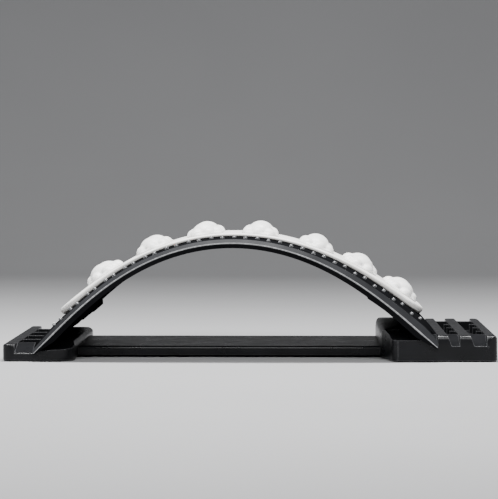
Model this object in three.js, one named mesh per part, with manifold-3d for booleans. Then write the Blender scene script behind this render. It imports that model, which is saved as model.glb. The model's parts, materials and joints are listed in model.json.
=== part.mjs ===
// Arched back stretcher: a bent board with a soft massage strip, held by its two ends in the slots of a
// low base. Millimetres. X runs along the arch, Y across it, Z up. The origin is on the floor, under the
// middle of the base.

import * as THREE from 'three';
import { mergeVertices } from 'three/addons/utils/BufferGeometryUtils.js';
import Module from 'manifold-3d';

const wasm = await Module();
wasm.setup();

// Clearances and cuts
const seatGap = 0.3;              // between a piece and the seat that carries it
const overrun = 2;                // how far a cutting shape runs past what it cuts

// Base, both end blocks
const baseLength = 398;
const blockWidth = 236;           // across, front face to back face
const blockBottom = 1;            // underside of the mouldings, above the floor
const blockCorner = 8;            // plan corners at the outer ends
const bottomRound = 1;            // edges along the underside
const ridgeRound = 1.5;           // edges along the ridges' tops
const crestRound = 7;             // inner top edge of each crest
const slopeRound = 3.5;           // where a crest meets its slope, and the slope its floor
const crestHalf = 76;             // half width of the full height of each inner crest
const shellWall = 2.4;            // least wall left over the hollows underneath
const ribWall = 3;                // ribs between the hollows
const hollowRows = 6;             // across each block
const leftHollowColumns = 1;
const rightHollowColumns = 4;

// Fixed end block, from its outer end inwards
const leftRidgeWidth = 10;
const webLength = 14.4;           // cross webs, from the ridge to the board's foot
const leftSlotLength = 17;        // slot floor, from the ridge to the crest's slope
const leftSlopeLength = 9.5;
const leftCrestLength = 20.8;
const leftInnerCorner = 21.3;      // round corners in plan, towards the middle of the base
const leftRidgeTop = 14.4;
const leftRidgeRound = 3.5;
const leftFloor = 6.95;
const webTop = 13.4;
const leftCrestTop = 16.2;
const leftCrestEndTop = 9.4;      // crest height at the front and back faces

// Adjusting end block, from its outer end inwards
const outerRidgeWidth = 8.6;
const outerSeatStep = 21.8;       // from the outer slot's seat to the middle slot's
const innerSeatStep = 17.6;       // from there to the inner slot's
const middleRidgeWidth = 8.4;
const innerRidgeWidth = 7.8;
const troughLength = 11;          // the inner slot's floor
const rightSlopeLength = 12;
const rightCrestLength = 22;
const rightInnerCorner = 7;        // round corners in plan, towards the middle of the base
const rightShoulder = 8;           // how much less the block reaches in there than in its middle
const rightRidgeTop = 21.6;
const rightRidgeRound = 4.6;
const rightFloor = 12.7;
const ridgeBackSlope = 3.4;       // how far a ridge's back leans out down to the next floor
const toothLength = 4.5;          // teeth on each seat wall
const toothTop = 20.5;
const rightCrestTop = 24.8;
const rightCrestEndTop = 17.4;
const sillTop = 17.4;             // low end walls of the inner slot
const sillWall = 3;
const sillGap = 6;                // from the end of a sill to the seat wall

// Cross webs and teeth stand at these places across the base, and ramps close the ends of the slots
const webPitch = 46;
const webThickness = 5;
const webGaps = 2;
const rampStartY = 92;

// Centre bar
const barWidth = 135;
const barTop = 9.4;
const barBottom = 1.8;
const barRound = 2.6;
const tongueLength = 18;          // length of the bar's ends inside the blocks
const barSkin = 2.4;
const barHollowColumns = 6;
const barHollowRows = 4;

// Screws that hold the bar
const screwShank = 4;
const screwHead = 8;
const screwHeadHeight = 2.4;
const screwGrip = 4.5;            // length in the block above the bar
const screwY = 42;

// Foot pads
const padLength = 30;
const padWidth = 14;
const padThickness = 2.2;
const padRound = 3;
const padSeat = 1.5;              // depth of the pad's recess
const padY = 102;

// Arch board
const boardLengthShare = 1.166;   // length along the board, of the distance between its seats
const boardWidth = 246;
const boardThickness = 3.4;
const footThickness = 3;
const footTaper = 19;             // length over which the foot thins
const rimTopMiddle = 2.4;         // top of the rim above the line of its edge, in the middle
const leftRimTop = 3.6;           // and near the board's ends
const rightRimTop = 5.2;
const crownMiddle = 0.4;          // how much higher than its rim the board is under the strip, in the middle
const crownEnd = 2.7;             // and near its ends
const crownY = 47;                // half width of the board's raised middle
const rimLean = 3.6;              // how far the rim leans in towards the top
const rimTuck = 1.6;              // how far it leans in towards its lower edge
const rimThickness = 4.5;
const rimMiddle = 4.2;            // depth of the rim under its edge line, in the middle
const rimEnd = 5.8;
const rimFoot = 1;
const footInset = 0.7;            // from the foot's face in to the end of the rim's edge line
const leftEdgeDrop = 0.55;        // how far the edge line ends under the foot
const rightEdgeDrop = 1.8;
const edgeRound = 0.8;

// Stiffening ribs under the board
const innerRibY = 12;             // across, on both sides of the middle
const outerRibY = 58;
const ribThickness = 3;
const ribDepth = 10;
const leftRibStartShare = 0.665;  // of half the board, from its middle
const rightRibStartShare = 0.558;
const ribEndShare = 0.832;
const ribDepthShares = [0.1, 0.3, 1, 1, 1, 0.75, 0.4];    // from its upper end to its lower end

// Small nubs on the board, in an inner and an outer row on each side of the strip
const nubRadius = 1.8;
const nubHeight = 2.1;
const nubShoulderShares = [0.8, 0.65];     // of its radius and height
const innerNubY = 80;
const outerNubY = 103;
const nubInset = 24;              // from the board's end to the first nub of an inner row
const nubGaps = 18;               // in an inner row; an outer row has one nub in the middle of each gap

// Massage strip
const leftStripInset = 31;        // from the board's end to the strip's end
const rightStripInset = 26;
const stripWidth = 90;
const stripCorner = 16;
const stripMiddle = 3.2;          // thickness
const stripEnd = 6.2;
const stripRound = 1.8;
const stripTipShare = 0.45;       // of the full thickness, left at the very tips
const stripEdgeShares = [[0.5, 0], [0, 0.3], [0, 0.55], [0.4, 0.86], [1.5, 1]];    // of round and thickness
const stripCornerShares = [0, 0.02, 0.11, 0.25, 0.5, 0.75, 1];

// Massage nodules
const noduleAlongShares = [-0.604, -0.364, -0.131, 0.103, 0.348, 0.55, 0.7505];    // of half the board
const noduleTurnShares = [0, 0.5, 0.2, 0.7, 0.35, 0.9, 0.15];                      // of a petal's angle
const noduleAcross = 26;
const noduleRadiusShare = 0.0825;          // of half the board
const noduleBase = 3.2;           // height of the round base
const noduleEdgeShare = 0.4;      // of that height, at its widest
const noduleTop = 10;
const petalTop = 6.8;
const petalCount = 6;
const petalRadiusShare = 0.38;             // of the nodule's radius
const petalRingShare = 0.61;
const shoulderShares = [[0.93, 0.42], [0.6, 0.83]];      // of a dome's radius and height
const buttonRadiusShare = 0.56;           // of the nodule's radius
const stemRadius = 4;
const stemHead = 5.6;
const stemHeadHeight = 2.2;

// Step counts of the curved forms
const boardSteps = 40;
const stripSteps = 26;
const curveSteps = 4;
const roundSides = 12;
const nubSides = 6;
const domeSides = 6;
const holeSides = 10;

// Places along the base
const leftEndX = -baseLength / 2;
const leftSeatX = leftEndX + leftRidgeWidth + webLength;
const leftFloorEndX = leftEndX + leftRidgeWidth + leftSlotLength;
const leftCrestX = leftFloorEndX + leftSlopeLength;
const leftInnerX = leftCrestX + leftCrestLength;
const leftFrontEndX = leftInnerX - leftInnerCorner;
const rightEndX = baseLength / 2;
const outerSeatX = rightEndX - outerRidgeWidth;
const middleSeatX = outerSeatX - outerSeatStep;
const innerSeatX = middleSeatX - innerSeatStep;
const troughStartX = innerSeatX - troughLength;
const rightCrestX = troughStartX - rightSlopeLength;
const rightInnerX = rightCrestX - rightCrestLength;
const rightShoulderX = rightInnerX + rightShoulder;
const rightFrontEndX = rightShoulderX + rightInnerCorner;

// Each slot of the adjusting end: where it starts, its seat wall and the outer edge of the ridge behind it
const adjustingSlots = [
  { start: innerSeatX - toothLength, seat: innerSeatX, ridgeEnd: innerSeatX + innerRidgeWidth },
  { start: innerSeatX + innerRidgeWidth, seat: middleSeatX, ridgeEnd: middleSeatX + middleRidgeWidth },
  { start: middleSeatX + middleRidgeWidth, seat: outerSeatX, ridgeEnd: rightEndX },
];

const halfBlock = blockWidth / 2;
const crownFootY = boardWidth / 2 - rimLean - edgeRound;

// Colours
const black = new THREE.Color(0x15161a);
const blackSatin = new THREE.Color(0x1b1c20);
const white = new THREE.Color(0xe9e8e4);
const rubberGrey = new THREE.Color(0x26272a);
const steel = new THREE.Color(0x9a9c9f);

function finish(color, roughness, metalness = 0) {
  return new THREE.MeshStandardMaterial({ color, roughness, metalness });
}

// Solids

function solid(geometry) {
  const bare = geometry.clone();
  bare.deleteAttribute('normal');
  bare.deleteAttribute('uv');
  const merged = mergeVertices(bare);
  return new wasm.Manifold(new wasm.Mesh({
    numProp: 3,
    vertProperties: new Float32Array(merged.attributes.position.array),
    triVerts: new Uint32Array(merged.index.array),
  }));
}

function join(pieces) {
  return pieces.reduce((whole, piece) => whole.add(piece));
}

function cut(body, tools) {
  return tools.reduce((rest, tool) => rest.subtract(tool), body);
}

function geometryOf(body) {
  const mesh = body.getMesh();
  const positions = new Float32Array(mesh.vertProperties);
  const geometry = new THREE.BufferGeometry();
  geometry.setAttribute('position', new THREE.BufferAttribute(positions, mesh.numProp));
  geometry.setIndex(new THREE.BufferAttribute(new Uint32Array(mesh.triVerts), 1));
  geometry.computeVertexNormals();
  return geometry;
}

function box(x0, x1, y0, y1, z0, z1) {
  const geometry = new THREE.BoxGeometry(x1 - x0, y1 - y0, z1 - z0);
  geometry.translate((x0 + x1) / 2, (y0 + y1) / 2, (z0 + z1) / 2);
  return solid(geometry);
}

// An outline in the XY plane, drawn upwards from z0 to z1
function raise(shape, z0, z1) {
  const geometry = new THREE.ExtrudeGeometry(shape, {
    depth: z1 - z0, bevelEnabled: false, curveSegments: curveSteps,
  });
  geometry.translate(0, 0, z0);
  return solid(geometry);
}

// An outline in the XZ plane, drawn along Y from y0 to y1
function drawAcross(shape, y0, y1) {
  const geometry = new THREE.ExtrudeGeometry(shape, {
    depth: y1 - y0, bevelEnabled: false, curveSegments: curveSteps,
  });
  geometry.rotateX(Math.PI / 2);
  geometry.translate(0, y1, 0);
  return solid(geometry);
}

// An outline in the YZ plane, drawn along X from x0 to x1
function drawAlong(shape, x0, x1) {
  const geometry = new THREE.ExtrudeGeometry(shape, {
    depth: x1 - x0, bevelEnabled: false, curveSegments: curveSteps,
  });
  geometry.applyMatrix4(new THREE.Matrix4().makeBasis(
    new THREE.Vector3(0, 1, 0), new THREE.Vector3(0, 0, 1), new THREE.Vector3(1, 0, 0),
  ));
  geometry.translate(x0, 0, 0);
  return solid(geometry);
}

// A profile of [radius, height] points turned round the Z axis, from the lowest point up
function turn(profile, sides) {
  const points = profile.map(([radius, height]) => new THREE.Vector2(radius, height));
  const geometry = new THREE.LatheGeometry(points, sides);
  geometry.rotateX(Math.PI / 2);
  return geometry;
}

// A closed outline through corners of [x, y, radius]
function roundedOutline(corners) {
  const shape = new THREE.Shape();
  corners.forEach(([x, y, radius], index) => {
    const here = new THREE.Vector2(x, y);
    const [beforeX, beforeY] = corners.at(index - 1);
    const [afterX, afterY] = corners[(index + 1) % corners.length];
    const back = new THREE.Vector2(beforeX, beforeY).sub(here).normalize();
    const ahead = new THREE.Vector2(afterX, afterY).sub(here).normalize();
    const halfAngle = Math.acos(back.dot(ahead)) / 2;
    const setback = radius / Math.tan(halfAngle);
    const start = here.clone().addScaledVector(back, setback);
    const end = here.clone().addScaledVector(ahead, setback);
    if (index === 0) {
      shape.moveTo(start.x, start.y);
    } else {
      shape.lineTo(start.x, start.y);
    }
    if (radius > 0) {
      shape.quadraticCurveTo(here.x, here.y, end.x, end.y);
    }
  });
  shape.closePath();
  return shape;
}

// A skin over a row of matching outlines, closed at both ends
function loft(rings) {
  const count = rings[0].length;
  const positions = rings.flat().flatMap(({ place }) => place.toArray());
  const index = [];
  for (let ring = 0; ring + 1 < rings.length; ring += 1) {
    for (let corner = 0; corner < count; corner += 1) {
      const next = (corner + 1) % count;
      const a = ring * count + corner;
      const b = ring * count + next;
      index.push(a, b, b + count, a, b + count, a + count);
    }
  }
  const last = (rings.length - 1) * count;
  const capOf = (ring) => THREE.ShapeUtils.triangulateShape(ring.map(({ flat }) => flat), []);
  capOf(rings[0]).forEach(([a, b, c]) => index.push(a, c, b));
  capOf(rings.at(-1)).forEach(([a, b, c]) => index.push(last + a, last + b, last + c));
  const geometry = new THREE.BufferGeometry();
  geometry.setAttribute('position', new THREE.Float32BufferAttribute(positions, 3));
  geometry.setIndex(index);
  return solid(geometry);
}

// The bent board's line: the rim's edge, an arch whose slope falls off as a sine from one foot to the
// other. The slope at the feet follows from the board's length and the distance between its seats.
const leftFootX = leftSeatX + seatGap;
const rightFootX = innerSeatX - seatGap;
const leftEnd = new THREE.Vector2(leftFootX + footInset, leftFloor + seatGap - leftEdgeDrop);
const rightEnd = new THREE.Vector2(rightFootX + footInset, rightFloor + seatGap - rightEdgeDrop);
const span = leftEnd.distanceTo(rightEnd);
const boardLength = span * boardLengthShare;
const halfBoard = boardLength / 2;
const halfStrip = halfBoard - (leftStripInset + rightStripInset) / 2;
const stripCentre = (leftStripInset - rightStripInset) / 2;
const noduleRadius = halfBoard * noduleRadiusShare;
const tilt = Math.atan2(rightEnd.y - leftEnd.y, rightEnd.x - leftEnd.x);
const integralSteps = 96;

function simpson(f, from, to) {
  const step = (to - from) / integralSteps;
  let sum = f(from) + f(to);
  for (let i = 1; i < integralSteps; i += 1) {
    sum += f(from + i * step) * (i % 2 ? 4 : 2);
  }
  return sum * step / 3;
}

function spanFor(slope) {
  return simpson((s) => Math.cos(slope * Math.sin(Math.PI * s / boardLength)), -halfBoard, halfBoard);
}

function solveFootSlope() {
  let low = 0;
  let high = Math.PI / 2;
  for (let round = 0; round < 50; round += 1) {
    const middle = (low + high) / 2;
    if (spanFor(middle) > span) {
      low = middle;
    } else {
      high = middle;
    }
  }
  return (low + high) / 2;
}

const footSlope = solveFootSlope();

function slopeAt(s) {
  return tilt - footSlope * Math.sin(Math.PI * s / boardLength);
}

// A point at s along the board, y across it and rise out from its line
function onBoard(s, y, rise) {
  const x = leftEnd.x + simpson((t) => Math.cos(slopeAt(t)), -halfBoard, s);
  const z = leftEnd.y + simpson((t) => Math.sin(slopeAt(t)), -halfBoard, s);
  const slope = slopeAt(s);
  return new THREE.Vector3(x - Math.sin(slope) * rise, y, z + Math.cos(slope) * rise);
}

// Rings for a loft along the board, from a section of [across, rise] points at each place
function ringsOnBoard(places, sectionAt) {
  return places.map((s) => {
    const middle = onBoard(s, 0, 0);
    const slope = slopeAt(s);
    return sectionAt(s).map(([y, rise]) => ({
      flat: new THREE.Vector2(y, rise),
      place: new THREE.Vector3(middle.x - Math.sin(slope) * rise, y, middle.z + Math.cos(slope) * rise),
    }));
  });
}

// Points of one half of a section, from the middle of its underside outwards and up to the middle of its
// top, made whole with their mirror images
function mirrored(half) {
  return [...half, ...half.toReversed().map(([y, rise]) => [-y, rise])];
}

// Top of the rim above its edge line, and how much higher the board is at y across it
function rimTop(s) {
  const end = s < 0 ? leftRimTop : rightRimTop;
  return rimTopMiddle + (end - rimTopMiddle) * (s / halfBoard) ** 2;
}

function crown(s, y) {
  const full = crownMiddle + (crownEnd - crownMiddle) * (s / halfBoard) ** 2;
  const fall = (Math.abs(y) - crownY) / (crownFootY - crownY);
  return full * Math.min(1, Math.max(0, 1 - fall));
}

function boardTop(s, y) {
  const thinning = Math.max(0, Math.abs(s) - (halfBoard - footTaper)) / footTaper;
  return rimTop(s) + crown(s, y) - thinning * (boardThickness - footThickness);
}

function boardUnder(s, y) {
  return rimTop(s) + crown(s, y) - boardThickness;
}

function rimDepth(s) {
  const reach = Math.abs(s) / halfBoard;
  const thinning = Math.max(0, Math.abs(s) - (halfBoard - footTaper)) / footTaper;
  const full = rimMiddle + (rimEnd - rimMiddle) * reach ** 2;
  return full + (rimFoot - full) * thinning;
}

function boardSection(s) {
  const side = boardWidth / 2;
  const inner = side - rimThickness;
  const top = boardTop(s, crownFootY);
  const depth = rimDepth(s);
  const lip = depth / 6;
  return mirrored([
    [crownY, boardUnder(s, crownY)],
    [inner, boardUnder(s, inner)],
    [inner, lip - depth],
    [inner + lip, -depth],
    [side - rimTuck, -depth],
    [side - edgeRound / 3, -lip],
    [side, 0],
    [side - edgeRound / 2, edgeRound / 2],
    [side - rimLean + edgeRound / 3, top - edgeRound],
    [crownFootY, top],
    [crownY, boardTop(s, crownY)],
  ]);
}

function evenPlaces(from, to, steps) {
  return Array.from({ length: steps + 1 }, (_, i) => from + (to - from) * i / steps);
}

// A stiffening rib: blunt at its upper end, running out towards the foot
function boardRib(side, y) {
  const startShare = side < 0 ? leftRibStartShare : rightRibStartShare;
  const places = evenPlaces(startShare, ribEndShare, ribDepthShares.length - 1)
    .map((share) => side * share * halfBoard);
  const depths = new Map(places.map((s, i) => [s, ribDepth * ribDepthShares[i]]));
  const ordered = places.toSorted((a, b) => a - b);
  return loft(ringsOnBoard(ordered, (s) => [
    [y - ribThickness / 2, boardUnder(s, y) - depths.get(s)],
    [y + ribThickness / 2, boardUnder(s, y) - depths.get(s)],
    [y + ribThickness / 2, boardUnder(s, y) + boardThickness / 3],
    [y - ribThickness / 2, boardUnder(s, y) + boardThickness / 3],
  ]));
}

function nubs() {
  const reach = halfBoard - nubInset;
  const halfGap = reach / nubGaps;
  const rows = [
    { y: innerNubY, places: evenPlaces(-reach, reach, nubGaps) },
    { y: outerNubY, places: evenPlaces(halfGap - reach, reach - halfGap, nubGaps - 1) },
  ];
  return rows.flatMap(({ y, places }) => places.flatMap((s) => [-y, y].map((across) => {
    const nub = turn([
      [0, -nubHeight / 2],
      [nubRadius, -nubHeight / 2],
      [nubRadius * nubShoulderShares[0], nubHeight * nubShoulderShares[1]],
      [0, nubHeight],
    ], nubSides);
    const foot = onBoard(s, across, boardTop(s, across));
    nub.rotateY(-slopeAt(s));
    nub.translate(foot.x, foot.y, foot.z);
    return solid(nub);
  })));
}

function noduleSeats() {
  const petalAngle = 2 * Math.PI / petalCount;
  return noduleAlongShares.flatMap((share, i) => [-1, 1].map((side) => ({
    s: share * halfBoard, y: side * noduleAcross, turned: side * noduleTurnShares[i] * petalAngle,
  })));
}

function stripThickness(s) {
  return stripMiddle + (stripEnd - stripMiddle) * (s / halfStrip) ** 2;
}

function stripTop(s) {
  return boardTop(s, 0) + seatGap + stripThickness(s);
}

// Slope of the strip's top, which grows thicker towards its ends
function stripSlopeAt(s) {
  return slopeAt(s) + Math.atan((stripTop(s + edgeRound) - stripTop(s - edgeRound)) / (edgeRound * 2));
}

function stemHoles(radius) {
  return noduleSeats().map(({ s, y }) => {
    const depth = boardThickness + stripThickness(s) + overrun * 4;
    const hole = new THREE.CylinderGeometry(radius, radius, depth, holeSides);
    const foot = onBoard(s, y, stripTop(s));
    hole.rotateX(Math.PI / 2);
    hole.translate(0, 0, overrun - depth / 2);
    hole.rotateY(-stripSlopeAt(s));
    hole.translate(foot.x, foot.y, foot.z);
    return solid(hole);
  });
}

function webPlaces() {
  return evenPlaces(-webPitch, webPitch, webGaps);
}

function archBoard() {
  const shell = loft(ringsOnBoard(evenPlaces(-halfBoard, halfBoard, boardSteps), boardSection));
  const ribs = [innerRibY, outerRibY].flatMap((y) => [-1, 1].flatMap((side) => [
    boardRib(side, y), boardRib(side, -y),
  ]));
  const innerFace = boardWidth / 2 - rimThickness;
  const past = overrun * 5;
  const notchX = innerSeatX - toothLength - seatGap;
  const notches = webPlaces().map((y) => box(
    notchX, rightFootX + past,
    y - webThickness / 2 - seatGap, y + webThickness / 2 + seatGap,
    rightFloor - past, rightRidgeTop + past,
  ));
  const corners = [-1, 1].map((side) => {
    const edges = [side * (rampStartY - webThickness - seatGap), side * innerFace].sort((a, b) => a - b);
    return box(notchX, rightFootX + past, edges[0], edges[1], rightFloor - past, rightRidgeTop + past * 2);
  });
  return cut(join([shell, ...ribs, ...nubs()]), [
    box(leftFootX - past, leftFootX, -boardWidth, boardWidth, 0, rightRidgeTop + past),
    box(rightFootX, rightFootX + past, -boardWidth, boardWidth, 0, rightRidgeTop + past),
    box(leftFootX - past, leftFootX + past, -innerFace, innerFace, 0, leftFloor + seatGap),
    box(rightFootX - past, rightFootX + past, -innerFace, innerFace, 0, rightFloor + seatGap),
    ...notches,
    ...corners,
    ...stemHoles(stemRadius + seatGap),
  ]);
}

function stripHalfWidth(s) {
  const intoCorner = Math.max(0, Math.abs(s - stripCentre) - (halfStrip - stripCorner));
  return stripWidth / 2 - stripCorner + Math.sqrt(Math.max(0, stripCorner ** 2 - intoCorner ** 2));
}

function stripSection(s) {
  const edge = stripHalfWidth(s);
  const fromEnd = Math.max(0, halfStrip - Math.abs(s - stripCentre));
  const ease = Math.min(1, fromEnd / stripRound);
  const fullness = stripTipShare + (1 - stripTipShare) * Math.sqrt(1 - (1 - ease) ** 2);
  const thickness = stripThickness(s) * fullness;
  const floor = boardTop(s, 0) + seatGap;
  return mirrored(stripEdgeShares.map(([inset, height]) => [
    edge - stripRound * inset, floor + thickness * height,
  ]));
}

function stripPlaces() {
  const straight = halfStrip - stripCorner;
  const middle = evenPlaces(-straight, straight, stripSteps).slice(1, -1);
  const end = stripCornerShares.map((share) => halfStrip - share * stripCorner);
  return [...end.map((s) => -s), ...middle, ...end.toReversed()].map((s) => s + stripCentre);
}

function massageStrip() {
  const slab = loft(ringsOnBoard(stripPlaces(), stripSection));
  return cut(slab, stemHoles(stemRadius + seatGap));
}

function dome(radius, top, x, y) {
  const foot = noduleBase / 3;
  const shoulders = shoulderShares.map(([out, up]) => [radius * out, foot + (top - foot) * up]);
  const geometry = turn([[0, foot], [radius, foot], ...shoulders, [0, top]], domeSides);
  geometry.translate(x, y, 0);
  return solid(geometry);
}

function massageNodule(s, turned) {
  const reach = stripThickness(s) + boardThickness + seatGap * 2;
  const core = turn([
    [0, -reach - stemHeadHeight],
    [stemRadius, -reach - stemHeadHeight],
    [stemHead, -reach],
    [stemRadius, -reach],
    [stemRadius, seatGap],
    [noduleRadius - edgeRound, seatGap],
    [noduleRadius, noduleBase * noduleEdgeShare],
    [0, noduleBase],
  ], petalCount * 2);
  const ring = noduleRadius * petalRingShare;
  const petals = Array.from({ length: petalCount }, (_, i) => {
    const angle = turned + i * 2 * Math.PI / petalCount;
    return dome(noduleRadius * petalRadiusShare, petalTop, ring * Math.cos(angle), ring * Math.sin(angle));
  });
  return join([solid(core), ...petals, dome(noduleRadius * buttonRadiusShare, noduleTop, 0, 0)]);
}

// End blocks

function blockFront(top, round) {
  return roundedOutline([
    [-halfBlock, blockBottom, 0], [halfBlock, blockBottom, 0],
    [halfBlock, top, round], [-halfBlock, top, round],
  ]);
}

// Seen from the end: full height in the middle, easing down to the front and back faces
function crestFront(top, endTop) {
  const ease = (halfBlock - crestHalf) / 2;
  const shape = new THREE.Shape();
  shape.moveTo(-halfBlock, blockBottom);
  shape.lineTo(halfBlock, blockBottom);
  shape.lineTo(halfBlock, endTop);
  shape.bezierCurveTo(halfBlock - ease, endTop, crestHalf + ease, top, crestHalf, top);
  shape.lineTo(-crestHalf, top);
  shape.bezierCurveTo(-crestHalf - ease, top, ease - halfBlock, endTop, -halfBlock, endTop);
  shape.closePath();
  return shape;
}

// Seen from above: square outer end, round inner corners, and between them the side that carries the bar
function blockPlan(outerX, shoulderX, innerX, innerCorner) {
  const side = Math.sign(outerX);
  const frontEndX = shoulderX + side * innerCorner;
  const cornerY = halfBlock - innerCorner;
  const straight = barWidth / 2;
  const easeY = (cornerY + straight) / 2;
  const shape = new THREE.Shape();
  shape.moveTo(outerX - side * blockCorner, -halfBlock);
  shape.quadraticCurveTo(outerX, -halfBlock, outerX, blockCorner - halfBlock);
  shape.lineTo(outerX, halfBlock - blockCorner);
  shape.quadraticCurveTo(outerX, halfBlock, outerX - side * blockCorner, halfBlock);
  shape.lineTo(frontEndX, halfBlock);
  shape.quadraticCurveTo(shoulderX, halfBlock, shoulderX, cornerY);
  shape.bezierCurveTo(shoulderX, easeY, innerX, easeY, innerX, straight);
  shape.lineTo(innerX, -straight);
  shape.bezierCurveTo(innerX, -easeY, shoulderX, -easeY, shoulderX, -cornerY);
  shape.quadraticCurveTo(shoulderX, -halfBlock, frontEndX, -halfBlock);
  shape.closePath();
  return shape;
}

// A slot's closing ramp at the front or the back, from the floor at the face up to the webs' top
function endRamp(x0, x1, floor, top, side) {
  const shape = new THREE.Shape();
  shape.moveTo(side * halfBlock, floor);
  shape.lineTo(side * rampStartY, top);
  shape.lineTo(side * (rampStartY - webThickness), top);
  shape.lineTo(side * (rampStartY - webThickness), floor - shellWall / 2);
  shape.lineTo(side * halfBlock, floor - shellWall / 2);
  shape.closePath();
  return drawAlong(shape, x0, x1);
}

// Square hollows in the underside, in a grid between ribs
function hollows(x0, x1, columns, y0, y1, rows, roof) {
  const cellX = (x1 - x0 - ribWall * (columns - 1)) / columns;
  const cellY = (y1 - y0 - ribWall * (rows - 1)) / rows;
  const cells = [];
  for (let column = 0; column < columns; column += 1) {
    for (let row = 0; row < rows; row += 1) {
      const left = x0 + column * (cellX + ribWall);
      const near = y0 + row * (cellY + ribWall);
      cells.push(box(left, left + cellX, near, near + cellY, blockBottom - overrun, roof));
    }
  }
  return cells;
}

function padPlaces() {
  const leftX = (leftEndX + leftFrontEndX) / 2;
  const rightX = (rightEndX + rightFrontEndX) / 2;
  return [leftX, rightX].flatMap((x) => [-padY, padY].map((y) => ({ x, y })));
}

function padShape(x, y, grow) {
  const halfX = padLength / 2 + grow;
  const halfY = padWidth / 2 + grow;
  return roundedOutline([
    [x - halfX, y - halfY, padRound], [x + halfX, y - halfY, padRound],
    [x + halfX, y + halfY, padRound], [x - halfX, y + halfY, padRound],
  ]);
}

function padRecesses() {
  return padPlaces().map(({ x, y }) => raise(
    padShape(x, y, seatGap), blockBottom - overrun, blockBottom + padSeat,
  ));
}

// The hollows of a block between x0 and x1, clear of its pads
function blockHollows(x0, x1, columns, floor) {
  return hollows(x0, x1, columns, padWidth - padY, padY - padWidth, hollowRows, floor - shellWall);
}

// Room for the bar's end, and the blind holes for its screws
function barSeat(innerX, inward) {
  const edges = [innerX - inward * overrun, innerX + inward * (tongueLength + seatGap)].sort((a, b) => a - b);
  const half = barWidth / 2 + seatGap;
  const holeRadius = screwShank / 2 + seatGap;
  const holeDepth = screwGrip + seatGap * 2;
  const seat = box(edges[0], edges[1], -half, half, blockBottom - overrun, barTop + seatGap);
  const holes = [-screwY, screwY].map((y) => {
    const hole = new THREE.CylinderGeometry(holeRadius, holeRadius, holeDepth, holeSides);
    hole.rotateX(Math.PI / 2);
    hole.translate(innerX + inward * tongueLength / 2, y, barTop + holeDepth / 2);
    return solid(hole);
  });
  return [seat, ...holes];
}

function fixedEndBlock() {
  const ridgeInnerX = leftEndX + leftRidgeWidth;
  const side = drawAcross(roundedOutline([
    [leftEndX, blockBottom, bottomRound], [leftEndX, leftRidgeTop, leftRidgeRound],
    [ridgeInnerX, leftRidgeTop, ridgeRound], [ridgeInnerX, leftFloor, 0],
    [leftFloorEndX, leftFloor, slopeRound], [leftCrestX, leftCrestTop, slopeRound],
    [leftInnerX, leftCrestTop, crestRound], [leftInnerX, blockBottom, bottomRound],
  ]), -halfBlock, halfBlock);
  const outline = blockPlan(leftEndX, leftInnerX, leftInnerX, leftInnerCorner);
  const plan = raise(outline, 0, leftCrestTop + overrun);
  const front = join([
    drawAlong(blockFront(leftRidgeTop, leftRidgeRound), leftEndX - overrun, leftFloorEndX + overrun),
    drawAlong(crestFront(leftCrestTop, leftCrestEndTop), leftFloorEndX, leftInnerX + overrun),
  ]);
  const webs = webPlaces().map((y) => box(
    ridgeInnerX - ridgeRound, leftSeatX, y - webThickness / 2, y + webThickness / 2,
    leftFloor - shellWall / 2, webTop,
  ));
  const ramps = [-1, 1].map((end) => endRamp(ridgeInnerX - ridgeRound, leftSeatX, leftFloor, webTop, end));
  const body = side.intersect(plan).intersect(front);
  return cut(join([body, ...webs, ...ramps]), [
    ...blockHollows(leftEndX + ribWall, leftFloorEndX, leftHollowColumns, leftFloor),
    ...padRecesses(),
    ...barSeat(leftInnerX, -1),
  ]);
}

function adjustingEndBlock() {
  const slotCorners = adjustingSlots.flatMap(({ seat, ridgeEnd }) => [
    [seat, rightFloor, 0],
    [seat, rightRidgeTop, ridgeRound],
    ...(ridgeEnd < rightEndX ? [
      [ridgeEnd, rightRidgeTop, ridgeRound],
      [ridgeEnd + ridgeBackSlope, rightFloor, ridgeRound / 2],
    ] : []),
  ]);
  const side = drawAcross(roundedOutline([
    [rightInnerX, blockBottom, bottomRound], [rightInnerX, rightCrestTop, crestRound],
    [rightCrestX, rightCrestTop, slopeRound], [troughStartX, rightFloor, slopeRound],
    ...slotCorners,
    [rightEndX, rightRidgeTop, rightRidgeRound], [rightEndX, blockBottom, bottomRound],
  ]), -halfBlock, halfBlock);
  const outline = blockPlan(rightEndX, rightShoulderX, rightInnerX, rightInnerCorner);
  const plan = raise(outline, 0, rightCrestTop + overrun);
  const front = join([
    drawAlong(blockFront(rightRidgeTop, rightRidgeRound), troughStartX - overrun, rightEndX + overrun),
    drawAlong(crestFront(rightCrestTop, rightCrestEndTop), rightInnerX - overrun, troughStartX),
  ]);
  const teeth = adjustingSlots.flatMap(({ seat }) => webPlaces().map((y) => box(
    seat - toothLength, seat + ridgeRound, y - webThickness / 2, y + webThickness / 2,
    rightFloor - shellWall / 2, toothTop,
  )));
  const ramps = adjustingSlots.flatMap(({ start, seat }) => [-1, 1].map((end) => endRamp(
    start, seat + ridgeRound, rightFloor, toothTop, end,
  )));
  const sills = [-1, 1].map((end) => {
    const edges = [end * halfBlock, end * (halfBlock - sillWall)].sort((a, b) => a - b);
    return box(rightFrontEndX - overrun, innerSeatX - sillGap, edges[0], edges[1], blockBottom, sillTop);
  });
  const body = side.intersect(plan).intersect(front);
  const hollowX = rightInnerX + tongueLength + ribWall * 2;
  return cut(join([body, ...teeth, ...ramps, ...sills]), [
    ...blockHollows(hollowX, rightEndX - ribWall, rightHollowColumns, rightFloor),
    ...padRecesses(),
    ...barSeat(rightInnerX, 1),
  ]);
}

// Centre bar

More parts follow.
